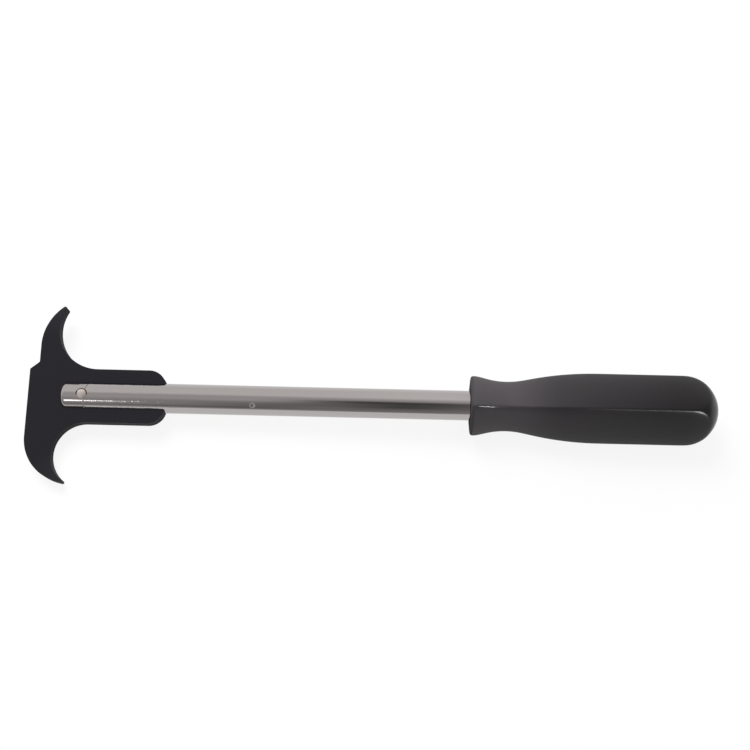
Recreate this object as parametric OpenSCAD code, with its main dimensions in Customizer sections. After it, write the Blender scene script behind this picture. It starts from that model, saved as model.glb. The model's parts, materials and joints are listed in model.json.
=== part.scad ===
// Seal puller: a flat two-hook steel plate, riveted into the slotted nose of a chromed
// round bar, with a four-sided moulded handle on the bar's other end.
// The tool is drawn with the bar along X, the handle's front face at x = 0 and the hook
// plate in the XY plane. It is then laid down as it comes to rest on a flat surface:
// on the small hook's tip, the bar's nose and one ridge of the handle.

/* [Bar] */
// Diameter of the round bar
bar_diameter = 13; // [11:0.1:15]
// Length of bar in front of the handle
bar_reach = 177; // [150:0.1:240]
// Length of bar inside the handle
bar_buried = 70; // [50:1:80]
// Length of the taper on the bar's nose
nose_taper = 1.9; // [1:0.1:4]
// Diameter of the flat end of the nose
nose_flat = 7; // [6.5:0.1:10]
// Length of the two flats that keep the bar from turning in the handle
key_length = 30; // [15:1:45]
// Depth of each of those flats
key_depth = 1.2; // [0.5:0.1:2]

/* [Bar mark] */
// Distance of the small round dent from the handle
dent_reach = 93.9; // [20:0.1:110]
// Turn of the dent from the top of the bar toward the small hook
dent_turn = 31.5; // [0:0.5:60]
// Width of the dent
dent_width = 2.8; // [1:0.1:4]
// Depth of the dent
dent_depth = 0.3; // [0.1:0.05:0.6]

/* [Hook plate] */
// Thickness of the plate, and width of the slot that holds it
plate_thickness = 6.4; // [4:0.1:7]
// Length of the plate on the bar's axis
plate_length = 59.6; // [50:0.1:75]
// Distance that the plate stands out in front of the nose
plate_overhang = 14.5; // [8:0.1:22]
// Width of the plate's tail
tail_width = 23.5; // [20:0.1:30]
// Corner radius at the rear of the tail
tail_corner = 7.6; // [3:0.1:10]
// Distance from the axis at which the front edge starts to step back
step_start = 11.3; // [6:0.1:12]
// Distance from the axis at which the step ends
step_end = 14.5; // [13:0.1:18]
// Depth of the step
step_depth = 3.9; // [1:0.1:5]

/* [Large hook] */
// Radius of the back of the large hook
large_back = 22; // [20:0.1:24]
// Distance of that arc's centre from the axis
large_offset = 22.2; // [20:0.1:24]
// Radius of the large hook's gullet
large_gullet = 18.2; // [17:0.1:20]
// Distance of the gullet's centre behind the front edge
large_gullet_set = 29.5; // [28:0.1:32]
// Radius of the large hook's tip
large_tip = 0.7; // [0.4:0.1:1.5]

/* [Small hook] */
// Radius of the back of the small hook
small_back = 19.8; // [18:0.1:22]
// Distance of that arc's centre from the axis
small_offset = 18.5; // [17:0.1:20]
// Radius of the small hook's gullet
small_gullet = 14.1; // [13:0.1:16]
// Distance of the gullet's centre behind the front edge
small_gullet_set = 25.9; // [24:0.1:28]
// Radius of the small hook's tip
small_tip = 0.6; // [0.3:0.1:1]

/* [Rivet] */
// Diameter of the rivet
rivet_diameter = 4; // [3:0.1:6]
// Distance of the rivet behind the nose
rivet_set = 9.4; // [6:0.1:20]
// Height that the rivet's domed ends stand proud of the bar
rivet_proud = 0.1; // [0:0.05:0.2]
// Width of the countersink round each end
rivet_sink = 0.3; // [0.1:0.05:0.6]

/* [Handle] */
// Length of the handle
handle_length = 107.9; // [95:0.1:130]
// Turn of the handle's upper ridge toward the small hook
handle_turn = 11.5; // [0:0.5:25]
// Length of the collar at the front
collar_length = 3.1; // [2.5:0.1:6]
// Distance from the axis to the collar's ridges
collar_ridge = 13.1; // [12:0.1:15]
// Distance from the axis to the collar's flats
collar_flat = 9.5; // [9:0.1:10.5]
// Rounding of the collar's front edge
collar_round = 1.3; // [0.4:0.1:2]
// Distance of the narrowest place from the front face
neck_set = 15.9; // [12:0.1:22]
// Distance from the axis to the neck's ridges
neck_ridge = 10.6; // [10.2:0.1:11.5]
// Distance from the axis to the neck's flats
neck_flat = 7.8; // [7.5:0.1:8.8]
// Distance of the straight body from the front face
body_set = 55.8; // [45:0.1:65]
// Distance from the axis to the body's ridges, and radius of the round end
body_ridge = 15.3; // [14:0.1:18]
// Distance from the axis to the body's flats
body_flat = 10.9; // [10.2:0.1:12.5]

/* [Hidden] */
$fn = 180;

bar_radius = bar_diameter / 2;
half_plate = plate_thickness / 2;
half_tail = tail_width / 2;
tail_start = min(large_gullet_set, small_gullet_set);
nose_x = -bar_reach;
plate_x = nose_x - plate_overhang;
slot_end_x = plate_x + plate_length;
rivet_x = nose_x + rivet_set;
// Room that a cut needs past the surface it opens
clear = bar_diameter;
// Overlap with which two arcs that touch are made to cross cleanly
lap = 0.005;

// The arcs of the hooks, seen from the middle of the plate's front edge.
// Each hook's back runs smoothly out of the front edge, and its gullet into the tail's side.
large_back_at = [step_depth + large_back, large_offset];
small_back_at = [small_back, -small_offset];
large_gullet_at = [large_gullet_set, half_tail + large_gullet];
small_gullet_at = [small_gullet_set, -half_tail - small_gullet];
large_tip_at = crossing(
    large_back_at, large_back - large_tip, large_gullet_at, large_gullet + large_tip, 1
);
small_tip_at = crossing(
    small_back_at, small_back - small_tip, small_gullet_at, small_gullet + small_tip, -1
);

// The rest: the small hook's tip and the nose lie as low as each other, and the body's
// lowest ridge leans on the same surface where its shoulder runs out.
hook_reach = small_tip - small_tip_at[1];
roll = asin(bar_radius / norm([hook_reach, half_plate])) - atan2(half_plate, hook_reach);
ridge_half_turn = 45 - acos(body_flat / body_ridge);
body_low = body_ridge * cos(handle_turn + roll - ridge_half_turn);
rest_span = body_set + bar_reach - nose_taper;
shoulder_bend = shoulder_radius(neck_ridge, body_ridge, neck_radius(collar_ridge, neck_ridge));
bend_height = shoulder_bend + bar_radius - body_low;
pitch = asin(shoulder_bend / norm([rest_span, bend_height])) - atan2(bend_height, rest_span);
rest_height = (bar_reach - nose_taper) * sin(pitch) + bar_radius * cos(pitch);
middle_x = (handle_length + plate_x) / 2;
middle_y = (large_tip_at[1] + large_tip - hook_reach) / 2;

// Direction of a vector
function unit(v) = v / norm(v);

// Where a circle round a crosses one round b, on the side that the sign picks
function crossing(a, a_radius, b, b_radius, side) =
    let (
        gap = norm(b - a),
        along = (a_radius * a_radius - b_radius * b_radius + gap * gap) / (2 * gap),
        across = sqrt(a_radius * a_radius - along * along),
        line = unit(b - a)
    )
    a + along * line + side * across * [-line[1], line[0]];

// Radius of the hollow from the collar's edge to the neck
function neck_radius(collar, neck) =
    (pow(neck_set - collar_length, 2) + pow(collar - neck, 2)) / (2 * (collar - neck));

// Radius of the swell from the hollow to the straight body
function shoulder_radius(neck, body, hollow) =
    (pow(body_set - neck_set, 2) + pow(body - neck, 2)) / (2 * (body - neck)) - hollow;

// Distance from the front face at which the hollow turns into the swell
function neck_end(collar, neck, body) =
    let (
        hollow = neck_radius(collar, neck),
        swell = shoulder_radius(neck, body, hollow)
    )
    neck_set + (body_set - neck_set) * hollow / (hollow + swell);

// Lays the finished tool down, with its middle over the origin
module laid() {
    translate([-middle_x, -middle_y, rest_height])
        rotate([roll, -pitch, 0])
            children();
}

// Each outline given, drawn out to a thickness and centred on the XY plane
module cut_plate(thickness) {
    for (i = [0 : $children - 1])
        linear_extrude(height = thickness, center = true)
            children(i);
}

// Open space inside one hook, with its round tip left standing
module hook_opening(back_at, back, gullet_at, gullet, tip_at, tip, side) {
    back_touch = back_at + back * unit(tip_at - back_at);
    gullet_touch = gullet_at + gullet * unit(tip_at - gullet_at);
    chord = side * (back_touch - gullet_touch);
    difference() {
        cut_plate(2 * plate_thickness) {
            translate(gullet_at)
                circle(gullet);
            translate([gullet_at[0], side > 0 ? half_tail : -half_tail - 2 * gullet])
                square([plate_length, 2 * gullet]);
            translate(gullet_touch)
                rotate(atan2(chord[1], chord[0]) - 90)
                    translate([0, -gullet / 2])
                        square(gullet);
        }
        cut_plate(3 * plate_thickness)
            translate(tip_at)
                circle(tip + lap);
    }
}

// The plate before its hooks are opened
module plate_blank() {
    cut_plate(plate_thickness) {
        translate(large_back_at)
            circle(large_back);
        translate(small_back_at)
            circle(small_back);
        polygon([
            [0, -small_offset],
            [0, step_start],
            [step_depth, step_end],
            [step_depth, large_offset],
            large_back_at,
            [plate_length / 2, 0],
            small_back_at
        ]);
        translate([tail_start, -half_tail])
            square([plate_length - tail_corner - tail_start, tail_width]);
        translate([tail_start, tail_corner - half_tail])
            square([plate_length - tail_start, tail_width - 2 * tail_corner]);
        translate([plate_length - tail_corner, half_tail - tail_corner])
            circle(tail_corner);
        translate([plate_length - tail_corner, tail_corner - half_tail])
            circle(tail_corner);
    }
}

// The bar as turned and keyed, before its nose is slotted and drilled
module bar_blank() {
    difference() {
        rotate([0, 90, 0])
            rotate_extrude()
                polygon([
                    [0, nose_x],
                    [nose_flat / 2, nose_x],
                    [bar_radius, nose_x + nose_taper],
                    [bar_radius, bar_buried],
                    [0, bar_buried]
                ]);
        for (side = [0, 180])
            rotate([side, 0, 0])
                translate([bar_buried - key_length, -clear, bar_radius - key_depth])
                    cube([key_length + clear, 2 * clear, clear]);
    }
}

// Half of the handle's side view from the front face to where the hollow of the neck ends
module grip_neck(collar, neck, body) {
    hollow = neck_radius(collar, neck);
    difference() {
        union() {
            translate([collar_round, 0])
                square([neck_set - collar_round, collar]);
            square([neck_set, collar - collar_round]);
            translate([collar_round, collar - collar_round])
                circle(collar_round);
            translate([neck_set, 0])
                square([neck_end(collar, neck, body) - neck_set, body]);
        }
        translate([neck_set, neck + hollow])
            circle(hollow);
    }
}

// Half of its side view through the swell to the straight body
module grip_shoulder(collar, neck, body) {
    swell = shoulder_radius(neck, body, neck_radius(collar, neck));
    intersection() {
        translate([neck_set, 0])
            square([body_set - neck_set, body]);
        translate([body_set, body - swell])
            circle(swell + lap);
    }
}

// Each half side view given, turned about the handle's axis
module turned() {
    for (i = [0 : $children - 1])
        rotate([0, 90, 0])
            rotate_extrude()
                mirror([1, -1, 0])
                    children(i);
}

// The round form that the handle's ridges lie on, with its round end
module grip_round() {
    turned() {
        square([handle_length - body_ridge, neck_ridge]);
        grip_neck(collar_ridge, neck_ridge, body_ridge);
        grip_shoulder(collar_ridge, neck_ridge, body_ridge);
        translate([body_set, 0])
            square([handle_length - body_ridge - body_set, body_ridge]);
    }
    translate([handle_length - body_ridge, 0, 0])
        sphere(body_ridge);
}

// Each half side view given, drawn out across the handle on both sides of its axis
module drawn_out() {
    for (side = [0, 180], i = [0 : $children - 1])
        rotate([side, 0, 0])
            linear_extrude(height = 4 * body_ridge, center = true)
                children(i);
}

// One pair of the handle's opposite flats
module grip_flats() {
    drawn_out() {
        translate([0, -neck_flat])
            square([handle_length, 2 * neck_flat]);
        grip_neck(collar_flat, neck_flat, body_flat);
        grip_shoulder(collar_flat, neck_flat, body_flat);
        translate([body_set, 0])
            square([handle_length - body_set, body_flat]);
    }
}

module hook_plate() {
    color("#2a2a2d")
        laid()
            translate([plate_x, 0, 0])
                difference() {
                    plate_blank();
                    hook_opening(
                        large_back_at, large_back, large_gullet_at, large_gullet,
                        large_tip_at, large_tip, 1
                    );
                    hook_opening(
                        small_back_at, small_back, small_gullet_at, small_gullet,
                        small_tip_at, small_tip, -1
                    );
                    translate([rivet_x - plate_x, 0, 0])
                        cylinder(h = bar_diameter, d = rivet_diameter, center = true);
                }
}

module shaft() {
    color("#b4b0ae")
        laid()
            difference() {
                bar_blank();
                translate([nose_x - clear, -clear, -half_plate])
                    cube([slot_end_x - nose_x + clear, 2 * clear, plate_thickness]);
                translate([rivet_x, 0, 0])
                    cylinder(h = 2 * bar_diameter, d = rivet_diameter, center = true);
                for (side = [0, 180])
                    rotate([side, 0, 0])
                        translate([rivet_x, 0, bar_radius - rivet_sink])
                            cylinder(
                                h = 2 * rivet_sink,
                                r1 = rivet_diameter / 2,
                                r2 = rivet_diameter / 2 + 2 * rivet_sink
                            );
                dent_ball = (dent_width * dent_width / 4 + dent_depth * dent_depth) / (2 * dent_depth);
                rotate([dent_turn, 0, 0])
                    translate([-dent_reach, 0, bar_radius - dent_depth + dent_ball])
                        sphere(dent_ball);
            }
}

module rivet() {
    color("#9c9894")
        laid()
            translate([rivet_x, 0, 0])
                intersection() {
                    cylinder(h = 2 * bar_diameter, d = rivet_diameter, center = true);
                    sphere(bar_radius + rivet_proud);
                }
}

module handle() {
    color("#333335")
        laid()
            difference() {
                rotate([45 + handle_turn, 0, 0])
                    intersection() {
                        grip_round();
                        grip_flats();
                        rotate([90, 0, 0])
                            grip_flats();
                    }
                bar_blank();
            }
}

hook_plate();
shaft();
rivet();
handle();
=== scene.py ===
"""Seal puller: the looks of the tool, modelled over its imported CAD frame.

A flat two-hook plate, matt black, sits in the slotted nose of a chromed bar and is held there
by one rivet. The bar runs into a black moulded handle with four hollowed flats. Each piece is
modelled in the tool's own axes, then laid where the frame's mounts say that the tool lies.
"""

import json
import logging
import math
from abc import ABC, abstractmethod
from contextlib import contextmanager
from dataclasses import dataclass, field
from enum import Enum
from typing import Any, Callable, ClassVar, Iterator, Sequence

import bmesh
import bpy
from bpy.types import Node, NodeSocket, NodeTree, Object
from mathutils import Matrix, Vector


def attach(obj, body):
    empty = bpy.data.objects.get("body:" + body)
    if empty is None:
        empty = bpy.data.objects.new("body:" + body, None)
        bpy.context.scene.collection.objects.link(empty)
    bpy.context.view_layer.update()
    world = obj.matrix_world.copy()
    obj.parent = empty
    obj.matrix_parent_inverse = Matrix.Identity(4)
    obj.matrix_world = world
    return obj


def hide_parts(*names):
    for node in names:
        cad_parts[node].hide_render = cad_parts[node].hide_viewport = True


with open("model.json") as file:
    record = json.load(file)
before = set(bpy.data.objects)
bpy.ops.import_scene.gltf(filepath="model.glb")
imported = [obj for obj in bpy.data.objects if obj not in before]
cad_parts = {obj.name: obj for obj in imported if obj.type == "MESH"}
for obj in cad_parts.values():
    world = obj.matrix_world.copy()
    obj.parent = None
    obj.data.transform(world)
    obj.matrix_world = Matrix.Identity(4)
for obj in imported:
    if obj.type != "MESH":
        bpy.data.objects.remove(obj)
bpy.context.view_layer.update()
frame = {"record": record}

LOG = logging.getLogger("seal_puller")
MM = 0.001
Point = tuple[float, float, float]

# Sizes that pieces share where they fit together
BAR_RADIUS = 6.5 * MM
BAR_BURIED = 70.0 * MM
HANDLE_TURN = math.radians(56.5)
PLATE_THICKNESS = 6.4 * MM
RIVET_AT = -167.6 * MM
RIVET_RADIUS = 2.0 * MM
RIVET_SIDES = 64

# Places this close count as one where an outline is drawn or picked, and where doubles are merged
TOUCHING = 0.01 * MM
DOUBLES = 0.002 * MM

# Levels between which most of a noise pattern lies
NOISE_SPAN = {"From Min": 0.3, "From Max": 0.7}


class Element(Enum):
    """Kind of mesh element that is picked in edit mode."""

    VERTEX = "VERT"
    EDGE = "EDGE"


class Role(Enum):
    """What a lamp does: light things softly without being mirrored, or only be mirrored."""

    SOFT = "soft"
    GLINT = "glint"


class Turn(Enum):
    """Way round that an arc runs, seen from above."""

    LEFT = 1
    RIGHT = -1


def deselect_all() -> None:
    """Goes back to object mode with nothing selected."""
    if bpy.context.mode != "OBJECT":
        bpy.ops.object.mode_set(mode="OBJECT")
    bpy.ops.object.select_all(action="DESELECT")


def focus(piece: Object) -> None:
    """Makes a piece the active one and the only one selected.

    Args:
        piece: The piece.
    """
    deselect_all()
    piece.select_set(True)
    bpy.context.view_layer.objects.active = piece


@contextmanager
def editing(piece: Object) -> Iterator[None]:
    """Opens a piece in edit mode for the length of a with block.

    Args:
        piece: The piece.
    """
    focus(piece)
    bpy.ops.object.mode_set(mode="EDIT")
    yield
    bpy.ops.object.mode_set(mode="OBJECT")


def pick(kind: Element, wanted: Callable[[Any], bool]) -> None:
    """Selects the elements of the mesh in edit mode that pass a test.

    Args:
        kind: Kind of element to go through.
        wanted: Test that is given each element.
    """
    bpy.ops.mesh.select_mode(type=kind.value)
    bpy.ops.mesh.select_all(action="DESELECT")
    mesh = bpy.context.edit_object.data
    form = bmesh.from_edit_mesh(mesh)
    for element in form.verts if kind is Element.VERTEX else form.edges:
        if wanted(element):
            element.select_set(True)
    bmesh.update_edit_mesh(mesh)


def face_out() -> None:
    """Turns every face of the mesh in edit mode outwards."""
    bpy.ops.mesh.select_all(action="SELECT")
    bpy.ops.mesh.normals_make_consistent(inside=False)


def close_up() -> None:
    """Merges the doubles of the mesh in edit mode, then turns every face outwards."""
    bpy.ops.mesh.select_all(action="SELECT")
    bpy.ops.mesh.remove_doubles(threshold=DOUBLES)
    face_out()


def apply_modifier(piece: Object, kind: str, **settings: Any) -> None:
    """Adds a modifier to a piece, sets it and applies it.

    Args:
        piece: Piece that it changes.
        kind: Type of the modifier.
        settings: Attributes of the modifier.
    """
    focus(piece)
    bpy.ops.object.modifier_add(type=kind)
    modifier = piece.modifiers[-1]
    for name, value in settings.items():
        setattr(modifier, name, value)
    bpy.ops.object.modifier_apply(modifier=modifier.name)


def cut(piece: Object, cutter: Object) -> None:
    """Takes the form of a cutter out of a piece and clears the cutter away.

    Args:
        piece: Piece that is cut.
        cutter: Closed form that is taken out of it.
    """
    apply_modifier(piece, "BOOLEAN", operation="DIFFERENCE", solver="EXACT", object=cutter)
    focus(cutter)
    bpy.ops.object.delete()


def shade(piece: Object, crease: float) -> None:
    """Shades a piece smooth up to a crease, with its broad faces kept flat.

    Args:
        piece: Piece to shade.
        crease: Largest angle between faces that is still smoothed, in radians.
    """
    focus(piece)
    bpy.ops.object.shade_smooth_by_angle(angle=crease)
    apply_modifier(piece, "WEIGHTED_NORMAL", keep_sharp=True)


def settle(piece: Object, place: Matrix) -> None:
    """Lays a piece in its place and applies that place to its mesh.

    Args:
        piece: The piece.
        place: Where its own axes lie.
    """
    focus(piece)
    piece.matrix_world = place
    bpy.ops.object.transform_apply(location=True, rotation=True, scale=True)


def upright(along: float) -> Matrix:
    """Gives the place of a turned form that stands across the bar, this far along it."""
    return Matrix.Translation((along, 0, 0)) @ Matrix.Rotation(-math.pi / 2, 4, "Y")


def quarter_round(radius: float, steps: int) -> list[tuple[float, float]]:
    """Goes round the quarter circle between an end face and a side.

    Args:
        radius: Radius of the quarter circle.
        steps: Number of steps that it is made in.

    Returns:
        For each point its distance from the end face and how far it is set in from the side.
    """
    angles = [math.pi / 2 * step / steps for step in range(steps + 1)]
    return [(radius * (1 - math.cos(angle)), radius * (1 - math.sin(angle))) for angle in angles]


def turn(name: str, rings: Sequence[tuple[float, float]], sides: int) -> Object:
    """Turns a round form on the X axis out of a circle, extruded and resized ring by ring.

    Args:
        name: Name of the new piece.
        rings: Place along X and radius of each ring, in metres.
        sides: Number of vertices in a ring.

    Returns:
        The piece, closed at both ends.
    """
    deselect_all()
    start, radius = rings[0]
    bpy.ops.mesh.primitive_circle_add(
        vertices=sides, radius=radius, fill_type="NGON",
        location=(start, 0, 0), rotation=(0, math.pi / 2, 0),
    )
    piece = bpy.context.object
    piece.name = name
    bpy.ops.object.transform_apply(location=True, rotation=True, scale=True)
    with editing(piece):
        bpy.ops.mesh.select_all(action="SELECT")
        for (near, before), (far, after) in zip(rings, rings[1:]):
            step = {"value": (far - near, 0, 0)}
            bpy.ops.mesh.extrude_region_move(TRANSFORM_OT_translate=step)
            widen = (1, after / before, after / before)
            bpy.ops.transform.resize(value=widen, center_override=(far, 0, 0))
        face_out()
    return piece


class Pen:
    """A vertex in edit mode that draws a level outline by being extruded and spun."""

    CHORD: ClassVar[float] = 0.7 * MM
    FEWEST: ClassVar[int] = 8

    def __init__(self, name: str, start: Vector, height: float) -> None:
        """Sets the pen down.

        Args:
            name: Name of the piece that the outline becomes.
            start: First point of the outline.
            height: Height at which the pen draws.
        """
        deselect_all()
        bpy.ops.mesh.primitive_plane_add(size=MM)
        self.piece: Object = bpy.context.object
        self.piece.name = name
        self.lift = Vector((0, 0, height))
        bpy.ops.object.mode_set(mode="EDIT")
        bpy.ops.mesh.select_mode(type="VERT")
        bpy.ops.mesh.select_all(action="SELECT")
        bpy.ops.mesh.merge(type="CENTER")
        bpy.ops.transform.translate(value=start + self.lift)
        self.at = start

    def line(self, end: Vector) -> None:
        """Extrudes a straight edge to a point."""
        bpy.ops.mesh.extrude_region_move(TRANSFORM_OT_translate={"value": end - self.at})
        self.at = end

    def arc(self, centre: Vector, end: Vector, way: Turn) -> None:
        """Spins an arc to a point.

        Args:
            centre: Centre of the arc.
            end: Last point of the arc.
            way: Way round that it runs.
        """
        arm = self.at - centre
        reach = end - centre
        angle = math.atan2(reach.y, reach.x) - math.atan2(arm.y, arm.x)
        angle = way.value * ((way.value * angle) % math.tau)
        steps = max(self.FEWEST, math.ceil(abs(angle) * arm.length / self.CHORD))
        # With no window a spin runs the other way round
        bpy.ops.mesh.spin(steps=steps, angle=-angle, center=centre + self.lift, axis=(0, 0, 1))
        self.at = end

    def fill(self) -> Object:
        """Closes the outline with one face and leaves that face selected, in edit mode.

        Returns:
            The piece that was drawn.
        """
        bpy.ops.mesh.select_all(action="SELECT")
        bpy.ops.mesh.remove_doubles(threshold=TOUCHING)
        bpy.ops.mesh.edge_face_add()
        return self.piece


@dataclass(frozen=True)
class ToolFrame:
    """Where the tool lies: X runs along the bar from the handle's front face, Z out of the plate."""

    matrix: Matrix
    GRIP: ClassVar[str] = "shaft_grip"
    GRIP_REACH: ClassVar[float] = 66.0 * MM
    FLAT: ClassVar[str] = "handle_flat"
    FLAT_TURN: ClassVar[float] = math.pi / 2 - HANDLE_TURN

    @classmethod
    def from_record(cls, record: dict[str, Any]) -> "ToolFrame":
        """Works the tool's axes out from the mounts on its bar and handle.

        Args:
            record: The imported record.

        Returns:
            The tool's frame in the row frame.
        """
        mounts = {mount["name"]: mount for mount in record["mounts"]}
        along = Vector(mounts[cls.GRIP]["axis"]).normalized()
        flat = Vector(mounts[cls.FLAT]["axis"]).normalized()
        out = Matrix.Rotation(cls.FLAT_TURN, 3, along) @ flat
        across = out.cross(along).normalized()
        out = along.cross(across)
        origin = Vector(mounts[cls.GRIP]["pos_m"]) + cls.GRIP_REACH * along
        axes = Matrix((along, across, out)).transposed()
        return cls(Matrix.Translation(origin) @ axes.to_4x4())


def linear(colour: str) -> tuple[float, float, float, float]:
    """Turns an sRGB hex colour into linear light.

    Args:
        colour: A hash sign and six hex digits.

    Returns:
        Red, green, blue and a full alpha, as a shader takes them.
    """
    levels = [int(colour[place : place + 2], 16) / 255 for place in (1, 3, 5)]
    red, green, blue = (
        level / 12.92 if level <= 0.04045 else ((level + 0.055) / 1.055) ** 2.4
        for level in levels
    )
    return red, green, blue, 1.0


def set_inputs(tree: NodeTree, node: Node, inputs: dict[str | int, Any]) -> None:
    """Sets or links inputs of a node.

    Args:
        tree: Node tree that the node is in.
        node: The node.
        inputs: For an input's name or number, an output socket to link or a constant.
    """
    for name, value in inputs.items():
        if isinstance(value, NodeSocket):
            tree.links.new(value, node.inputs[name])
        else:
            node.inputs[name].default_value = value


def add_node(
    tree: NodeTree,
    kind: str,
    inputs: dict[str | int, Any] | None = None,
    output: str | int = 0,
    **settings: Any,
) -> NodeSocket:
    """Adds a node with its settings, constants and links.

    Args:
        tree: Node tree that gets the node.
        kind: Type name of the node, less the ShaderNode that all of them begin with.
        inputs: For an input's name or number, an output socket to link or a constant.
        output: Name or number of the output that is wanted.
        settings: Attributes of the node itself.

    Returns:
        That output of the new node.
    """
    node = tree.nodes.new("ShaderNode" + kind)
    for name, value in settings.items():
        setattr(node, name, value)
    set_inputs(tree, node, inputs or {})
    return node.outputs[output]


@dataclass(frozen=True)
class Finish(ABC):
    """What a piece's surface is made of."""

    name: ClassVar[str]

    def dress(self, piece: Object, tool: ToolFrame) -> None:
        """Gives a piece this finish.

        Args:
            piece: Piece to dress.
            tool: Frame that the finish's patterns are set in.
        """
        material = bpy.data.materials.new(self.name)
        material.use_nodes = True
        tree = material.node_tree
        place = add_node(tree, "TexCoord", output="Object")
        axes = {"Location": tool.matrix.translation, "Rotation": tool.matrix.to_euler()}
        local = add_node(tree, "Mapping", {"Vector": place, **axes}, vector_type="TEXTURE")
        set_inputs(tree, tree.nodes["Principled BSDF"], self.coat(tree, local))
        piece.data.materials.clear()
        piece.data.materials.append(material)

    @abstractmethod
    def coat(self, tree: NodeTree, local: NodeSocket) -> dict[str, Any]:
        """Lays the finish's patterns.

        Args:
            tree: The material's node tree.
            local: Place on the piece in the tool's axes, in metres.

        Returns:
            A socket or a constant for each input of the surface shader that the finish sets.
        """


@dataclass(frozen=True)
class BlackenedSteel(Finish):
    """Matt black coat on steel plate: it drinks the light, with faint cloudy patches, a slightly
    greyer skin where the hook tips are scuffed, and duller cut walls."""

    name: ClassVar[str] = "blackened_steel"
    colour: str = "#232226"
    roughness: tuple[float, float] = (0.46, 0.6)
    cloud: float = 9.0 * MM
    # Coarser than the real grain, so that it shows
    grain: float = 0.5 * MM
    grain_depth: float = 0.1 * MM
    grain_strength: float = 0.12
    tips: tuple[Point, ...] = ()
    # On the plate this lighter grey is wear at the hook tips
    wear_and_painted_light: str = "#39383b"
    rubbed_reach: tuple[float, float] = (1.0 * MM, 14.0 * MM)
    rubbed_share: float = 0.6
    sheen: float = 0.06
    cut_to: float = 0.0
    cut_sheen: float = 0.026

    def coat(self, tree: NodeTree, local: NodeSocket) -> dict[str, Any]:
        """Lays a dull coat, clouded in gloss, scuffed at the tips and duller on the walls.

        Args:
            tree: The material's node tree.
            local: Place on the plate in the tool's axes, in metres.

        Returns:
            A socket for each input of the surface shader that the coat sets.
        """
        clouds = add_node(
            tree, "TexNoise",
            {"Vector": local, "Scale": 1 / self.cloud, "Detail": 4.0, "Roughness": 0.6},
        )
        grain = add_node(
            tree, "TexNoise", {"Vector": local, "Scale": 1 / self.grain, "Detail": 3.0}
        )
        smooth, rough = self.roughness
        gloss = add_node(
            tree, "MapRange", {"Value": clouds, **NOISE_SPAN, "To Min": smooth, "To Max": rough}
        )
        reach = [
            add_node(tree, "VectorMath", {0: local, 1: tip}, operation="DISTANCE", output="Value")
            for tip in self.tips
        ]
        nearest = add_node(tree, "Math", dict(enumerate(reach)), operation="MINIMUM")
        start, end = self.rubbed_reach
        span = {"From Min": start, "From Max": end, "To Min": self.rubbed_share, "To Max": 0.0}
        worn_and_painted_light = add_node(tree, "MapRange", {"Value": nearest, **span})
        patchy = add_node(tree, "Math", {0: worn_and_painted_light, 1: clouds}, operation="MULTIPLY")
        mix = {"Factor": patchy, 6: linear(self.colour), 7: linear(self.wear_and_painted_light)}
        colour = add_node(tree, "Mix", mix, data_type="RGBA", output=2)
        height = add_node(tree, "SeparateXYZ", {0: local}, output="Z")
        on_wall = add_node(tree, "Math", {0: height, 1: 0.0, 2: self.cut_to}, operation="COMPARE")
        sheen = add_node(
            tree, "MapRange", {"Value": on_wall, "To Min": self.sheen, "To Max": self.cut_sheen}
        )
        relief = add_node(
            tree, "Bump",
            {"Height": grain, "Strength": self.grain_strength, "Distance": self.grain_depth},
        )
        return {
            "Base Color": colour, "Roughness": gloss, "Specular IOR Level": sheen,
            "Normal": relief,
        }


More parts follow.
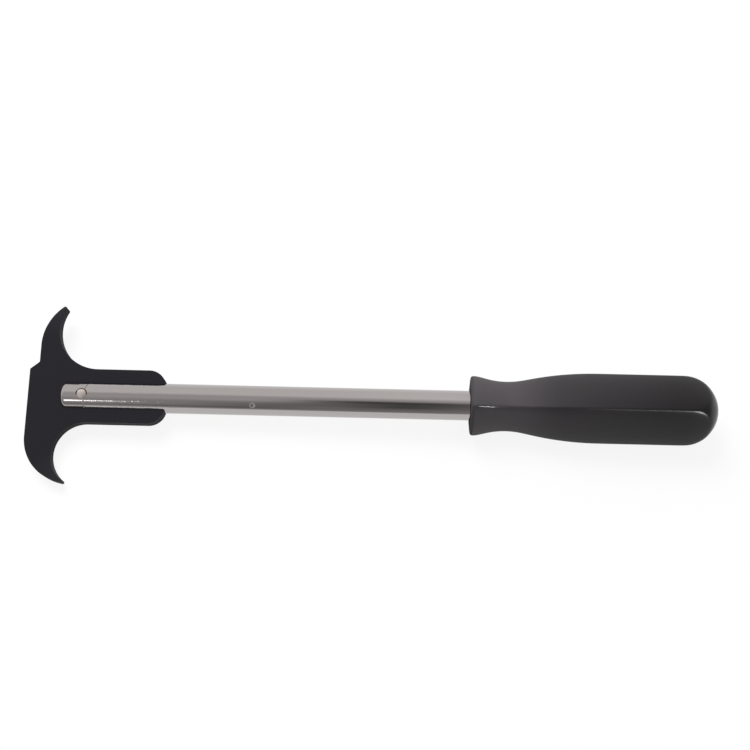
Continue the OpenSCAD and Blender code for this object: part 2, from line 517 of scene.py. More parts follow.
@dataclass(frozen=True)
class ChromePlate(Finish):
    """Bright chrome plate: a clean mirror, a little grey and warm, whose reflections waver
    slightly along the polished bar and sparkle where it is pitted behind the rivet. A dark line of
    painted shade lies in the groove round the far side of the rivet, grime darkens a hairline
    running on from it, a dull streak runs down the near side, and a light grey ring of painted
    highlight lies round the dent."""

    name: ClassVar[str] = "chrome_plate"
    colour: str = "#aea9a9"
    roughness: tuple[float, float] = (0.05, 0.11)
    wave_length: float = 26.0 * MM
    wave_width: float = 2.2 * MM
    wave_depth: float = 0.2 * MM
    wave_strength: float = 0.05
    pit: float = 0.7 * MM
    pit_depth: float = 0.05 * MM
    pit_strength: float = 0.9
    pits_at: float = -142.0 * MM
    pits_reach: float = 36.0 * MM
    # Painted highlight: a light grey, dull and not metal, painted in a ring round the dent's rim
    # where the chrome catches light
    dent_painted_highlight: str = "#8f8a8b"
    dent_painted_highlight_dulls: float = 0.5
    dent_at: Point = (0.0, 0.0, 0.0)
    dent_rim: float = 1.0 * MM
    dent_rim_width: float = 0.45 * MM
    # Painted shade in the rivet's groove, on its far side, and grime in the hairline share this dark
    # colour
    groove_shade_and_grime: str = "#2d2927"
    # Where the ring of painted shade lies round the rivet, and how far toward the near side it
    # reaches
    groove: float = 2.25 * MM
    groove_width: float = 0.4 * MM
    groove_from: float = -0.5 * MM
    hairline_set: float = 0.7 * MM
    hairline_lean: float = 0.3
    hairline_width: float = 0.22 * MM
    streak: str = "#9a988c"
    streak_dulls: float = 0.3
    streak_set: float = 0.9 * MM
    streak_width: float = 0.7 * MM

    def coat(self, tree: NodeTree, local: NodeSocket) -> dict[str, Any]:
        """Lays a mirror with long shallow waves, an uneven polish, pits, grime, painted shade and a
        painted highlight.

        Args:
            tree: The material's node tree.
            local: Place on the bar in the tool's axes, in metres.

        Returns:
            A socket for each input of the surface shader that the plate sets.
        """
        sizes = (self.wave_length, self.wave_width, self.wave_width)
        stretched = add_node(
            tree, "Mapping", {"Vector": local, "Scale": [1 / size for size in sizes]}
        )
        waves = add_node(tree, "TexNoise", {"Vector": stretched, "Scale": 1.0, "Detail": 2.0})
        smooth, rough = self.roughness
        gloss = add_node(
            tree, "MapRange", {"Value": waves, **NOISE_SPAN, "To Min": smooth, "To Max": rough}
        )
        wavy = add_node(
            tree, "Bump",
            {"Height": waves, "Strength": self.wave_strength, "Distance": self.wave_depth},
        )
        pits = add_node(tree, "TexNoise", {"Vector": local, "Scale": 1 / self.pit, "Detail": 1.0})
        from_pits, from_dent = (
            add_node(tree, "VectorMath", {0: local, 1: spot}, operation="DISTANCE", output="Value")
            for spot in ((self.pits_at, 0.0, 0.0), self.dent_at)
        )
        span = {"From Max": self.pits_reach, "To Min": self.pit_strength, "To Max": 0.0}
        pitted = add_node(tree, "MapRange", {"Value": from_pits, **span})
        relief = add_node(
            tree, "Bump",
            {"Height": pits, "Strength": pitted, "Distance": self.pit_depth, "Normal": wavy},
        )
        # Ring of painted highlight round the dent
        dent_painted_highlight_share = add_node(
            tree, "Math", {0: from_dent, 1: self.dent_rim, 2: self.dent_rim_width / 2},
            operation="COMPARE",
        )
        groove_shade_and_grime_share, streaked = self._marks(tree, local)
        colour = linear(self.colour)
        for share, layer in ((dent_painted_highlight_share, self.dent_painted_highlight), (streaked, self.streak), (groove_shade_and_grime_share, self.groove_shade_and_grime)):
            mix = {"Factor": share, 6: colour, 7: linear(layer)}
            colour = add_node(tree, "Mix", mix, data_type="RGBA", output=2)
        for share, dulls in ((dent_painted_highlight_share, self.dent_painted_highlight_dulls), (streaked, self.streak_dulls)):
            gloss = add_node(tree, "Math", {0: share, 1: dulls, 2: gloss}, operation="MULTIPLY_ADD")
        bare = add_node(tree, "Math", {0: 1.0, 1: dent_painted_highlight_share}, operation="SUBTRACT")
        return {"Base Color": colour, "Metallic": bare, "Roughness": gloss, "Normal": relief}

    def _marks(self, tree: NodeTree, local: NodeSocket) -> tuple[NodeSocket, NodeSocket]:
        """Finds where painted shade, grime and the streak lie round the rivet.

        Args:
            tree: The material's node tree.
            local: Place on the bar in the tool's axes, in metres.

        Returns:
            The share of painted shade and grime, and the share of the streak.
        """
        parts = add_node(tree, "SeparateXYZ", {0: local}).node.outputs
        across = parts["Y"]
        along = add_node(tree, "Math", {0: parts["X"], 1: RIVET_AT}, operation="SUBTRACT")
        flat = add_node(tree, "CombineXYZ", {"X": along, "Y": across})
        reach = add_node(tree, "VectorMath", {0: flat}, operation="LENGTH", output="Value")
        lean = add_node(
            tree, "Math", {0: across, 1: self.hairline_lean, 2: self.hairline_set},
            operation="MULTIPLY_ADD",
        )
        ring, line, film = (
            add_node(tree, "Math", {0: value, 1: at, 2: width / 2}, operation="COMPARE")
            for value, at, width in (
                (reach, self.groove, self.groove_width),
                (along, lean, self.hairline_width),
                (along, self.streak_set, self.streak_width),
            )
        )
        far, beyond, near = (
            add_node(tree, "Math", {0: across, 1: limit}, operation=test)
            for limit, test in (
                (self.groove_from, "GREATER_THAN"),
                (self.groove, "GREATER_THAN"),
                (-self.groove, "LESS_THAN"),
            )
        )
        # The ring is painted shade, kept to the far side of the rivet; the hairline is grime
        groove, hairline, streaked = (
            add_node(tree, "Math", {0: mark, 1: side}, operation="MULTIPLY")
            for mark, side in ((ring, far), (line, beyond), (film, near))
        )
        groove_shade_and_grime_share = add_node(tree, "Math", {0: groove, 1: hairline}, operation="MAXIMUM")
        return groove_shade_and_grime_share, streaked


@dataclass(frozen=True)
class PeenedSteel(Finish):
    """Bare steel worked flush with a hammer: a softer, lighter grey than the chrome round it,
    with shallow facets."""

    name: ClassVar[str] = "rivet_steel"
    colour: str = "#dacec9"
    roughness: float = 0.3
    facet: float = 0.9 * MM
    facet_depth: float = 0.2 * MM
    facet_strength: float = 0.15

    def coat(self, tree: NodeTree, local: NodeSocket) -> dict[str, Any]:
        """Lays a satin metal with shallow hammer facets.

        Args:
            tree: The material's node tree.
            local: Place on the rivet in the tool's axes, in metres.

        Returns:
            A socket or a constant for each input of the surface shader that the steel sets.
        """
        facets = add_node(
            tree, "TexVoronoi", {"Vector": local, "Scale": 1 / self.facet}, feature="SMOOTH_F1"
        )
        relief = add_node(
            tree, "Bump",
            {"Height": facets, "Strength": self.facet_strength, "Distance": self.facet_depth},
        )
        return {
            "Base Color": linear(self.colour), "Metallic": 1.0, "Roughness": self.roughness,
            "Normal": relief,
        }


@dataclass(frozen=True)
class MouldedPlastic(Finish):
    """Black moulded plastic: semi-gloss, so that broad soft highlights lie on the hollow flats,
    with the very fine grain of the mould. Painted light makes the neck a lighter grey, fading to
    the blackest grey at the round end; hands have polished the neck smoother, and the front face,
    trimmed after moulding, is dull."""

    name: ClassVar[str] = "handle_plastic"
    colour: str = "#1c1a1c"
    roughness: tuple[float, float] = (0.21, 0.26)
    flow: float = 30.0 * MM
    # Coarser than the real grain, so that it shows
    grain: float = 0.35 * MM
    grain_depth: float = 0.1 * MM
    grain_strength: float = 0.06
    # Painted light: the grey is lightest at the neck, this middle grey between, and blackest at the
    # round end, as light falls most on the neck
    painted_light_mid: str = "#2e2b2e"
    painted_darkening_from: float = 42.0 * MM
    painted_darkening_to: float = 88.0 * MM
    wear_and_painted_light: str = "#444144"
    painted_light_to: float = 14.0 * MM
    rubbed_shines: float = 0.07
    sheen: float = 0.2
    trimmed_to: float = 1.2 * MM
    shiny_from: float = 1.6 * MM

    def coat(self, tree: NodeTree, local: NodeSocket) -> dict[str, Any]:
        """Lays a semi-gloss black with mould grain, a slow change of gloss, a smoother neck, and
        painted light that greys the neck and leaves the round end blackest.

        Args:
            tree: The material's node tree.
            local: Place on the handle in the tool's axes, in metres.

        Returns:
            A socket for each input of the surface shader that the plastic sets.
        """
        grain, flow = (
            add_node(tree, "TexNoise", {"Vector": local, "Scale": 1 / size, "Detail": 2.0})
            for size in (self.grain, self.flow)
        )
        smooth, rough = self.roughness
        gloss = add_node(
            tree, "MapRange", {"Value": flow, **NOISE_SPAN, "To Min": smooth, "To Max": rough}
        )
        along = add_node(tree, "SeparateXYZ", {0: local}, output="X")
        span = {"From Min": self.painted_light_to, "From Max": self.painted_darkening_from}
        worn_and_painted_light = add_node(
            tree, "MapRange", {"Value": along, **span, "To Min": 1.0, "To Max": 0.0},
            interpolation_type="SMOOTHSTEP",
        )
        span = {"From Min": self.painted_darkening_from, "From Max": self.painted_darkening_to}
        painted_darkening = add_node(tree, "MapRange", {"Value": along, **span})
        span = {"From Min": self.trimmed_to, "From Max": self.shiny_from, "To Max": self.sheen}
        sheen = add_node(tree, "MapRange", {"Value": along, **span})
        # Painted light: lightest grey at the neck, darkening along the handle to the blackest at the
        # round end
        colour = linear(self.painted_light_mid)
        for share, layer in ((painted_darkening, self.colour), (worn_and_painted_light, self.wear_and_painted_light)):
            mix = {"Factor": share, 6: colour, 7: linear(layer)}
            colour = add_node(tree, "Mix", mix, data_type="RGBA", output=2)
        polish = add_node(
            tree, "Math", {0: worn_and_painted_light, 1: -self.rubbed_shines, 2: gloss}, operation="MULTIPLY_ADD"
        )
        relief = add_node(
            tree, "Bump",
            {"Height": grain, "Strength": self.grain_strength, "Distance": self.grain_depth},
        )
        return {
            "Base Color": colour, "Roughness": polish, "Specular IOR Level": sheen,
            "Normal": relief,
        }


@dataclass
class Piece(ABC):
    """One piece of the tool, which stands in for one node of the frame."""

    node: ClassVar[str]
    slot: ClassVar[str]

    def place(self) -> Matrix:
        """Gives where the piece sits in the tool's axes."""
        return Matrix.Identity(4)

    @abstractmethod
    def model(self) -> Object:
        """Builds the piece's mesh in its own axes."""

    @abstractmethod
    def finish(self) -> Finish:
        """Gives the finish that the piece wears."""

    def build(self, tool: ToolFrame) -> Object:
        """Models the piece, lays it in the row frame and dresses it.

        Args:
            tool: Where the tool lies.

        Returns:
            The finished piece.
        """
        piece = self.model()
        settle(piece, tool.matrix @ self.place())
        self.finish().dress(piece, tool)
        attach(piece, "root")
        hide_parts(self.node)
        return piece


@dataclass
class Hook:
    """One hook of the plate: a round back, a round gullet and the tip between them.

    Attributes:
        back: Radius of the back.
        offset: How far the back's centre lies from the bar's axis.
        gullet: Radius of the gullet.
        gullet_set: How far the gullet's centre lies behind the plate's front.
        tip: Radius of the tip.
        side: 1 on the far side of the bar, -1 on the near side.
        lead: How far the back starts behind the plate's front.
    """

    back: float
    offset: float
    gullet: float
    gullet_set: float
    tip: float
    side: int
    lead: float

    def back_at(self) -> Vector:
        """Gives the centre of the back, which the front edge touches."""
        return Vector((self.lead + self.back, self.side * self.offset, 0))

    def gullet_at(self, half_tail: float) -> Vector:
        """Gives the centre of the gullet, which runs into the tail's side."""
        return Vector((self.gullet_set, self.side * (half_tail + self.gullet), 0))

    def tip_at(self, half_tail: float) -> Vector:
        """Finds the tip's centre: its round touches the back from inside, the gullet from outside.

        Args:
            half_tail: Half of the tail's width.

        Returns:
            The centre, seen from the middle of the front edge.
        """
        back_at = self.back_at()
        line = self.gullet_at(half_tail) - back_at
        inner = self.back - self.tip
        outer = self.gullet + self.tip
        along = (inner**2 - outer**2 + line.length_squared) / (2 * line.length)
        across = math.sqrt(inner**2 - along**2)
        line.normalize()
        return back_at + along * line + self.side * across * Vector((-line.y, line.x, 0))

    def tip_ends(self, half_tail: float) -> tuple[Vector, Vector]:
        """Finds where the tip's round meets the back and where it meets the gullet.

        Args:
            half_tail: Half of the tail's width.

        Returns:
            Both points, seen from the middle of the front edge.
        """
        tip_at = self.tip_at(half_tail)
        from_back = (tip_at - self.back_at()).normalized()
        to_gullet = (self.gullet_at(half_tail) - tip_at).normalized()
        return tip_at + self.tip * from_back, tip_at + self.tip * to_gullet


@dataclass
class HookPlate(Piece):
    """The flat plate: two hooks of different size, a stepped front edge and a straight tail."""

    node: ClassVar[str] = "hook_plate"
    slot: ClassVar[str] = "blackened_steel"
    front: float = -191.5 * MM
    thickness: float = PLATE_THICKNESS
    length: float = 59.6 * MM
    tail_width: float = 23.5 * MM
    tail_corner: float = 7.6 * MM
    step_start: float = 11.3 * MM
    step_end: float = 14.5 * MM
    rim: float = 0.22 * MM
    rim_steps: int = 3
    crease: float = math.radians(40)
    large: Hook = field(
        default_factory=lambda: Hook(
            back=22.0 * MM, offset=22.2 * MM, gullet=18.2 * MM, gullet_set=29.5 * MM,
            tip=0.7 * MM, side=1, lead=3.9 * MM,
        )
    )
    small: Hook = field(
        default_factory=lambda: Hook(
            back=19.8 * MM, offset=18.5 * MM, gullet=14.1 * MM, gullet_set=25.9 * MM,
            tip=0.6 * MM, side=-1, lead=0.0,
        )
    )

    def place(self) -> Matrix:
        """Puts the middle of the front edge ahead of the bar's nose."""
        return Matrix.Translation((self.front, 0, 0))

    def tip_points(self) -> tuple[Point, ...]:
        """Gives both tips in the tool's axes."""
        shift, half = Vector((self.front, 0, 0)), self.tail_width / 2
        return tuple(tuple(hook.tip_at(half) + shift) for hook in (self.large, self.small))

    def model(self) -> Object:
        """Draws the outline, gives it its thickness, breaks its rims and drills it.

        Returns:
            The plate.
        """
        piece = self._outline()
        bpy.ops.mesh.extrude_region_move(
            TRANSFORM_OT_translate={"value": (0, 0, self.thickness)}
        )
        close_up()
        pick(Element.EDGE, self._on_rim)
        bpy.ops.mesh.bevel(
            offset=self.rim, segments=self.rim_steps, affect="EDGES", clamp_overlap=False
        )
        close_up()
        deselect_all()
        bpy.ops.mesh.primitive_cylinder_add(
            vertices=RIVET_SIDES, radius=RIVET_RADIUS, depth=2 * self.thickness,
            location=(RIVET_AT - self.front, 0, 0),
        )
        cut(piece, bpy.context.object)
        shade(piece, self.crease)
        return piece

    def _outline(self) -> Object:
        """Draws the outline of the lower face, from the small hook's front round to its back.

        Returns:
            The plate as one face, in edit mode.
        """
        half = self.tail_width / 2
        corner = self.length - self.tail_corner
        inner = half - self.tail_corner
        large, small = self.large, self.small
        large_front, large_rear = large.tip_ends(half)
        small_front, small_rear = small.tip_ends(half)
        start = Vector((0, small.back_at().y, 0))
        pen = Pen(self.node + "_form", start, -self.thickness / 2)
        pen.line(Vector((0, self.step_start, 0)))
        pen.line(Vector((large.lead, self.step_end, 0)))
        pen.line(Vector((large.lead, large.back_at().y, 0)))
        pen.arc(large.back_at(), large_front, Turn.RIGHT)
        pen.arc(large.tip_at(half), large_rear, Turn.RIGHT)
        pen.arc(large.gullet_at(half), Vector((large.gullet_set, half, 0)), Turn.LEFT)
        pen.line(Vector((corner, half, 0)))
        pen.arc(Vector((corner, inner, 0)), Vector((self.length, inner, 0)), Turn.RIGHT)
        pen.line(Vector((self.length, -inner, 0)))
        pen.arc(Vector((corner, -inner, 0)), Vector((corner, -half, 0)), Turn.RIGHT)
        pen.line(Vector((small.gullet_set, -half, 0)))
        pen.arc(small.gullet_at(half), small_rear, Turn.LEFT)
        pen.arc(small.tip_at(half), small_front, Turn.RIGHT)
        pen.arc(small.back_at(), start, Turn.RIGHT)
        return pen.fill()

    def _on_rim(self, edge: Any) -> bool:
        """Tells whether an edge runs along the upper or lower rim."""
        face = self.thickness / 2
        return all(abs(abs(vertex.co.z) - face) < TOUCHING for vertex in edge.verts)

    def finish(self) -> Finish:
        """Gives the black coat, scuffed at the tips."""
        return BlackenedSteel(tips=self.tip_points(), cut_to=self.thickness / 2 - self.rim)


@dataclass
class Shaft(Piece):
    """The chromed bar: a rounded, slotted and drilled nose, a dent and a keyed buried end."""

    node: ClassVar[str] = "shaft"
    slot: ClassVar[str] = "chrome_plate"
    radius: float = BAR_RADIUS
    reach: float = 177.0 * MM
    buried: float = BAR_BURIED
    nose_round: float = 2.1 * MM
    nose_steps: int = 10
    key_length: float = 30.0 * MM
    key_depth: float = 1.2 * MM
    slot_end: float = -131.9 * MM
    slot_width: float = PLATE_THICKNESS
    rivet_sink: float = 0.3 * MM
    dent_reach: float = 93.9 * MM
    dent_turn: float = math.radians(31.5)
    dent_width: float = 2.8 * MM
    dent_depth: float = 0.15 * MM
    dent_sides: int = 96
    sides: int = 256
    crease: float = math.radians(30)

    def model(self) -> Object:
        """Turns the bar, then slots, drills, dents and keys it.

        Returns:
            The bar.
        """
        rings = [
            (along - self.reach, self.radius - inset)
            for along, inset in quarter_round(self.nose_round, self.nose_steps)
        ]
        piece = turn(self.node + "_form", rings + [(self.buried, self.radius)], self.sides)
        self._cut_box(piece, self.slot_end - self.reach, self.slot_end, 0.0)
        self._drill(piece)
        self._dent(piece)
        flat = self.radius - self.key_depth + self.slot_width / 2
        for height in (flat, -flat):
            key = self.buried - self.key_length
            self._cut_box(piece, key, self.buried + self.key_length, height)
        shade(piece, self.crease)
        return piece

    def _cut_box(self, piece: Object, start: float, end: float, height: float) -> None:
        """Mills a slot or flat of the slot's width across the bar.

        Args:
            piece: The bar.
            start: Where the cut starts along the bar.
            end: Where it ends.
            height: Height of its middle over the bar's axis.
        """
        deselect_all()
        bpy.ops.mesh.primitive_cube_add(size=1, location=((start + end) / 2, 0, height))
        cutter = bpy.context.object
        with editing(cutter):
            bpy.ops.mesh.select_all(action="SELECT")
            bpy.ops.transform.resize(value=(end - start, 4 * self.radius, self.slot_width))
        cut(piece, cutter)

    def _drill(self, piece: Object) -> None:
        """Drills the rivet hole and countersinks both of its ends.

        Args:
            piece: The bar.
        """
        sink = self.rivet_sink
        wide = RIVET_RADIUS + 2 * sink
        low, high = self.radius - sink, self.radius + sink
        rings = [(-high, wide), (-low, RIVET_RADIUS), (low, RIVET_RADIUS), (high, wide)]
        cutter = turn("drill", rings, RIVET_SIDES)
        settle(cutter, upright(RIVET_AT))
        cut(piece, cutter)

    def _dent(self, piece: Object) -> None:
        """Presses the small round dent.

        Args:
            piece: The bar.
        """
        ball = (self.dent_width**2 / 4 + self.dent_depth**2) / (2 * self.dent_depth)
        deselect_all()
        bpy.ops.mesh.primitive_uv_sphere_add(
            segments=self.dent_sides, ring_count=self.dent_sides // 2, radius=ball,
            location=self._over_dent(ball - self.dent_depth),
        )
        cut(piece, bpy.context.object)

    def _over_dent(self, height: float) -> Vector:
        """Gives the point at a height over the bar's skin where the dent is."""
        point = Vector((-self.dent_reach, 0, self.radius + height))
        return Matrix.Rotation(self.dent_turn, 3, "X") @ point

    def finish(self) -> Finish:
        """Gives the chrome plate, with painted shade and grime round the rivet and a painted
        highlight round the dent.
        """
        return ChromePlate(dent_at=tuple(self._over_dent(0.0)))


@dataclass
class Rivet(Piece):
    """The rivet through the nose, its ends peened to a low dome."""

    node: ClassVar[str] = "rivet"
    slot: ClassVar[str] = "rivet_steel"
    radius: float = RIVET_RADIUS
    dome: float = 6.6 * MM
    rings: int = 8
    crease: float = math.radians(30)

    def place(self) -> Matrix:
        """Stands the rivet upright through the nose."""
        return upright(RIVET_AT)

    def model(self) -> Object:
        """Turns the shank with its two domed ends.

        Returns:
            The rivet.
        """
        widths = [self.radius * step / self.rings for step in range(1, self.rings + 1)]
        upper = [(math.sqrt(self.dome**2 - width**2), width) for width in widths]
        lower = [(-height, width) for height, width in upper]
        piece = turn(self.node + "_form", lower + upper[::-1], RIVET_SIDES)
        shade(piece, self.crease)
        return piece

    def finish(self) -> Finish:
        """Gives the peened steel."""
        return PeenedSteel()


@dataclass
class Handle(Piece):
    """The moulded handle: square collar, hollowed neck, straight body and round end."""

    node: ClassVar[str] = "handle"
    slot: ClassVar[str] = "handle_plastic"
    length: float = 107.9 * MM
    turn_on_bar: float = HANDLE_TURN
    bore: float = BAR_RADIUS
    bore_depth: float = BAR_BURIED
    bore_edge: float = 0.2 * MM
    face_inset: tuple[float, float] = (1.5 * MM, 0.6 * MM)
    collar_length: float = 3.1 * MM
    collar_round: float = 1.3 * MM
    collar_steps: int = 6
    collar: tuple[float, float] = (13.1 * MM, 9.5 * MM)
    neck_set: float = 15.9 * MM
    neck_steps: int = 44
    neck: tuple[float, float] = (10.6 * MM, 7.8 * MM)
    body_set: float = 55.8 * MM
    body_steps: int = 24
    body: tuple[float, float] = (15.3 * MM, 10.9 * MM)
    end_steps: int = 36
    crown: float = 0.24
    sides: int = 256
    soften: int = 28
    soften_factor: float = 0.5
    soften_spare: float = 0.2 * MM
    skin_spare: float = 0.1 * MM
    crease: float = math.radians(50)

    def place(self) -> Matrix:
        """Turns the handle on the bar."""
        return Matrix.Rotation(self.turn_on_bar, 4, "X")

    def _profile(self, along: float, which: int) -> float:
        """Gives the half height of the handle between its collar and its body.

        Args:
            along: Distance from the front face.
            which: 0 for the ridges, 1 for the flats.

        Returns:
            The distance of that ridge or flat from the axis.
        """
        collar, neck, body = self.collar[which], self.neck[which], self.body[which]
        drop = collar - neck
        hollow = ((self.neck_set - self.collar_length) ** 2 + drop**2) / (2 * drop)
        run = self.body_set - self.neck_set
        swell = (run**2 + (body - neck) ** 2) / (2 * (body - neck)) - hollow
        bend = self.neck_set + run * hollow / (hollow + swell)
        if along <= self.collar_length:
            return collar
        if along <= bend:
            return neck + hollow - math.sqrt(hollow**2 - (along - self.neck_set) ** 2)
        if along <= self.body_set:
            return body - swell + math.sqrt(swell**2 - (along - self.body_set) ** 2)
        return body

    def _rings(self) -> list[tuple[float, float, float]]:
        """Lists the rings from the bore's floor over the front face to the round end.

        Returns:
            Each ring's place, ridge radius and flat distance.
        """
        ridge, flat = self.collar
        edge = self.collar_round
        mouth = self.bore + self.bore_edge
        rings = [
            (self.bore_depth, self.bore, self.bore),
            (self.bore_edge, self.bore, self.bore),
            (0.0, mouth, mouth),
            (0.0, ridge - edge - self.face_inset[0], flat - edge - self.face_inset[1]),
        ]
        for along, inset in quarter_round(edge, self.collar_steps):
            rings.append((along, ridge - inset, flat - inset))
        for step in range(1, self.neck_steps + 1):
            along = edge + (self.body_set - edge) * step / self.neck_steps
            rings.append((along, self._profile(along, 0), self._profile(along, 1)))
        ridge, flat = self.body
        centre = self.length - ridge
        for step in range(1, self.body_steps + 1):
            along = self.body_set + (centre - self.body_set) * step / self.body_steps
            rings.append((along, ridge, flat))
        for step in range(1, self.end_steps):
            angle = math.pi / 2 * step / self.end_steps
            rings.append((centre + ridge * math.sin(angle), ridge * math.cos(angle), flat))
        return rings

    def model(self) -> Object:
        """Turns the round form, presses its four flats and softens the ridges.

        Returns:
            The handle.
        """
        rings = [
            (along, ridge + self.soften_spare if flat < ridge else ridge, flat)
            for along, ridge, flat in self._rings()
        ]
        last = rings[-1][0]
        piece = turn(self.node + "_form", [ring[:2] for ring in rings], self.sides)
        with editing(piece):
            for number, (along, ridge, flat) in enumerate(rings):
                if flat < ridge:
                    self._press(number, along, flat)
            pick(Element.VERTEX, lambda vertex: vertex.co.x > last - TOUCHING)
            bpy.ops.mesh.merge(type="CENTER")
            bpy.ops.transform.translate(value=(self.length - last, 0, 0))
            face_out()
        skin = piece.vertex_groups.new(name="skin")
        skin.add([at.index for at in piece.data.vertices if self._on_skin(at.co)], 1.0, "REPLACE")
        apply_modifier(
            piece, "SMOOTH",
            factor=self.soften_factor, iterations=self.soften, vertex_group=skin.name,
        )
        piece.vertex_groups.clear()
        bpy.ops.object.shade_smooth_by_angle(angle=self.crease)
        return piece

    def _on_skin(self, point: Vector) -> bool:
        """Tells whether a point is neither in the bore nor on the front face."""
        outside = math.hypot(point.y, point.z) > self.bore + self.skin_spare
        return point.x > self.bore_depth + self.skin_spare or outside and point.x > 0.0

    def _press(self, number: int, along: float, flat: float) -> None:
        """Presses one ring onto the four flats, each left with a slight crown.

        Args:
            number: Which ring.
            along: Place of the ring along the handle.
            flat: Distance of the flats' edges from the axis.
        """
        ring = range(number * self.sides, (number + 1) * self.sides)
        for axis in (1, 2):
            for side in (1, -1):
                pick(
                    Element.VERTEX,
                    lambda vertex: vertex.index in ring and side * vertex.co[axis] > flat,
                )
                centre = Vector((along, 0, 0))
                centre[axis] = side * flat
                scale = Vector((1, 1, 1))
                scale[axis] = self.crown
                bpy.ops.transform.resize(value=scale, center_override=centre)

    def finish(self) -> Finish:
        """Gives the moulded plastic."""
        return MouldedPlastic()


@dataclass
class PhotoCamera:
    """The camera: close by, high over the near side and turned a little on its axis."""

    azimuth: float = math.radians(-5.95)
    elevation: float = math.radians(71.14)
    roll: float = math.radians(7.63)
    distance: float = 532.9 * MM
    width: float = 330.0 * MM
    clip: tuple[float, float] = (0.05, 100.0)
    aim: Vector = field(default_factory=lambda: Vector((0.48 * MM, 12.65 * MM, 10.0 * MM)))

    def build(self) -> None:
        """Sets the camera up and makes it the scene's own."""
        lens = bpy.data.cameras.new("photo_camera")
        lens.lens = lens.sensor_width * self.distance / self.width
        lens.clip_start, lens.clip_end = self.clip
        camera = bpy.data.objects.new("photo_camera", lens)
        bpy.context.collection.objects.link(camera)
        level = math.cos(self.elevation)
        right, ahead = math.sin(self.azimuth) * level, math.cos(self.azimuth) * level
        back = Vector((right, -ahead, math.sin(self.elevation)))
        camera.location = self.aim + self.distance * back
        level_turn = (-back).to_track_quat("-Z", "Y").to_matrix()
        camera.rotation_euler = (level_turn @ Matrix.Rotation(self.roll, 3, "Z")).to_euler()
        bpy.context.scene.camera = camera


@dataclass
class Lamp:
    """A soft oblong lamp that points at the tool, as wide and high as its size says."""

    name: str
    place: Point
    size: tuple[float, float]
    power: float
    role: Role

    def build(self) -> None:
        """Hangs the lamp."""
        light = bpy.data.lights.new(self.name, "AREA")
        light.shape = "RECTANGLE"
        light.size, light.size_y = self.size
        light.energy = self.power
        lamp = bpy.data.objects.new(self.name, light)
        bpy.context.collection.objects.link(lamp)
        lamp.location = self.place
        lamp.rotation_euler = (-lamp.location).to_track_quat("-Z", "Y").to_euler()
        lamp.visible_camera = False
        lamp.visible_glossy = self.role is Role.GLINT
        lamp.visible_diffuse = self.role is Role.SOFT


@dataclass(frozen=True)
class Slice:
    """One slice of the room from the far side over the top to the near side.

    Attributes:
        across: How far along X a direction leans where this slice is met.
        levels: Angle from straight up toward the near side, in degrees, and how light it is there.
    """

    across: float
    levels: tuple[tuple[float, float], ...]


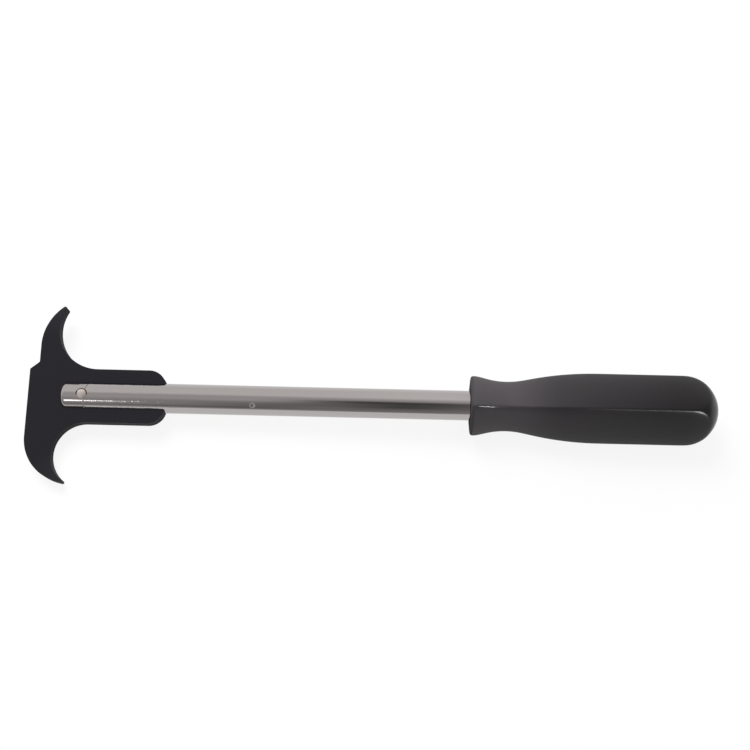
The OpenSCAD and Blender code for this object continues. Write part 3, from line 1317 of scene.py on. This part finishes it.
@dataclass
class Studio:
    """The room: a white floor, a light far side, a dim near side behind the camera, soft lamps."""

    slices: tuple[Slice, ...] = (
        Slice(-0.23, (
            (-180.0, 0.9), (-25.0, 0.93), (-22.0, 0.8), (-10.0, 0.6), (13.5, 0.6),
            (25.0, 0.48), (37.0, 0.45), (57.0, 0.48), (66.0, 0.37), (74.0, 0.27),
            (83.0, 0.45), (93.0, 0.75), (103.0, 0.86), (180.0, 0.9),
        )),
        Slice(-0.12, (
            (-180.0, 0.9), (-25.0, 0.93), (-22.0, 0.8), (-10.0, 0.6), (13.5, 0.62),
            (25.0, 0.43), (33.0, 0.33), (49.0, 0.25), (61.0, 0.25), (74.0, 0.17),
            (83.0, 0.35), (93.0, 0.72), (103.0, 0.86), (180.0, 0.9),
        )),
        Slice(-0.06, (
            (-180.0, 0.9), (-25.0, 0.94), (-22.0, 0.82), (-10.0, 0.6), (-3.0, 0.52),
            (2.0, 0.36), (8.0, 0.08), (17.0, 0.12), (27.0, 0.2), (49.0, 0.24),
            (57.0, 0.29), (74.0, 0.28), (83.0, 0.39), (93.0, 0.7), (103.0, 0.86),
            (180.0, 0.9),
        )),
        Slice(-0.005, (
            (-180.0, 0.92), (-25.0, 0.98), (-22.0, 0.86), (-10.0, 0.6), (-3.0, 0.52),
            (2.0, 0.36), (8.0, 0.08), (17.0, 0.05), (25.0, 0.09), (49.0, 0.085),
            (57.0, 0.16), (66.0, 0.24), (83.0, 0.32), (93.0, 0.62), (103.0, 0.86),
            (180.0, 0.9),
        )),
        Slice(0.05, (
            (-180.0, 0.92), (-25.0, 1.02), (-22.0, 0.9), (-10.0, 0.66), (-3.0, 0.6),
            (2.0, 0.5), (8.0, 0.28), (17.0, 0.18), (33.0, 0.19), (57.0, 0.24),
            (83.0, 0.33), (93.0, 0.62), (103.0, 0.86), (180.0, 0.9),
        )),
        Slice(0.1, (
            (-180.0, 0.95), (-95.0, 1.0), (-75.0, 0.85), (-55.0, 0.55), (-20.0, 0.4),
            (80.0, 0.35), (95.0, 0.8), (180.0, 0.85),
        )),
    )
    tint: tuple[float, float, float] = (1.0, 0.985, 0.97)
    floor_size: float = 12.0
    floor_gap: float = 0.1 * MM
    floor_colour: str = "#f4f4f4"
    floor_roughness: float = 0.9
    floor_glow: float = 0.88
    lamps: tuple[Lamp, ...] = (
        Lamp("key_lamp", (-0.45, 0.7, 1.1), (0.7, 0.7), 18.0, Role.SOFT),
        Lamp("strip_lamp", (-0.42, -0.657, 0.626), (0.15, 0.15), 0.22, Role.GLINT),
        Lamp("side_lamp", (0.7, -0.87, 0.45), (0.55, 0.25), 18.0, Role.GLINT),
        Lamp("ridge_lamp", (0.36, -0.84, 0.5), (0.3, 0.3), 0.35, Role.GLINT),
    )

    def build(self) -> None:
        """Sets up the floor, the surroundings and the lamps."""
        self._floor()
        self._surroundings()
        for lamp in self.lamps:
            lamp.build()

    def _floor(self) -> None:
        """Lays the white floor, which keeps the tool's shadow."""
        deselect_all()
        bpy.ops.mesh.primitive_plane_add(size=self.floor_size, location=(0, 0, -self.floor_gap))
        floor = bpy.context.object
        floor.name = "floor"
        material = bpy.data.materials.new("white_paper")
        material.use_nodes = True
        tree = material.node_tree
        surface = tree.nodes["Principled BSDF"]
        matt = {"Roughness": self.floor_roughness, "Specular IOR Level": 0.0}
        set_inputs(tree, surface, {"Base Color": linear(self.floor_colour), **matt})
        path = add_node(tree, "LightPath").node.outputs
        seen = add_node(
            tree, "Math", {0: path["Is Camera Ray"], 1: path["Is Glossy Ray"]}, operation="MAXIMUM"
        )
        share = add_node(tree, "Math", {0: seen, 1: self.floor_glow}, operation="MULTIPLY")
        glow = add_node(tree, "Emission", {"Strength": 1.0})
        mixed = add_node(tree, "MixShader", {0: share, 1: surface.outputs[0], 2: glow})
        set_inputs(tree, tree.nodes["Material Output"], {"Surface": mixed})
        floor.data.materials.append(material)

    def _surroundings(self) -> None:
        """Paints the room's light and dim sides round the tool, white to the camera itself."""
        world = bpy.data.worlds.new("studio")
        world.use_nodes = True
        bpy.context.scene.world = world
        tree = world.node_tree
        way = add_node(tree, "TexCoord", output="Generated")
        parts = add_node(tree, "SeparateXYZ", {0: way}).node.outputs
        near = add_node(tree, "Math", {0: parts["Y"], 1: -1.0}, operation="MULTIPLY")
        lean = add_node(tree, "Math", {0: near, 1: parts["Z"]}, operation="ARCTAN2")
        place = add_node(
            tree, "MapRange", {"Value": lean, "From Min": -math.pi, "From Max": math.pi}
        )
        room = self._ramp(tree, place, self.slices[0])
        for before, part in zip(self.slices, self.slices[1:]):
            span = {"From Min": before.across, "From Max": part.across}
            share = add_node(tree, "MapRange", {"Value": parts["X"], **span})
            mix = {"Factor": share, 6: room, 7: self._ramp(tree, place, part)}
            room = add_node(tree, "Mix", mix, data_type="RGBA", output=2)
        seen = add_node(tree, "LightPath", output="Is Camera Ray")
        mix = {"Factor": seen, 6: room, 7: linear("#ffffff")}
        colour = add_node(tree, "Mix", mix, data_type="RGBA", output=2)
        set_inputs(tree, tree.nodes["Background"], {"Color": colour})

    def _ramp(self, tree: NodeTree, place: NodeSocket, part: Slice) -> NodeSocket:
        """Paints one slice of the room.

        Args:
            tree: The world's node tree.
            place: Place from the far side over the top to the near side, from 0 to 1.
            part: The slice.

        Returns:
            Its colour.
        """
        ramp = add_node(tree, "ValToRGB", {"Fac": place})
        stops = ramp.node.color_ramp.elements
        while len(stops) < len(part.levels):
            stops.new(1.0)
        for stop, (angle, level) in zip(stops, part.levels):
            stop.position = (angle + 180) / 360
            stop.color = (*(level * share for share in self.tint), 1.0)
        return ramp


def main() -> None:
    """Builds the tool piece by piece, then the room and the camera."""
    logging.basicConfig(level=logging.INFO, format="%(name)s: %(message)s")
    tool = ToolFrame.from_record(frame["record"])
    for part in (HookPlate(), Shaft(), Rivet(), Handle()):
        piece = part.build(tool)
        piece.data.calc_loop_triangles()
        LOG.info("%s: %d triangles", piece.name, len(piece.data.loop_triangles))
    Studio().build()
    PhotoCamera().build()
    deselect_all()
    bpy.context.scene.view_settings.view_transform = "Standard"


if __name__ == "__main__":
    main()
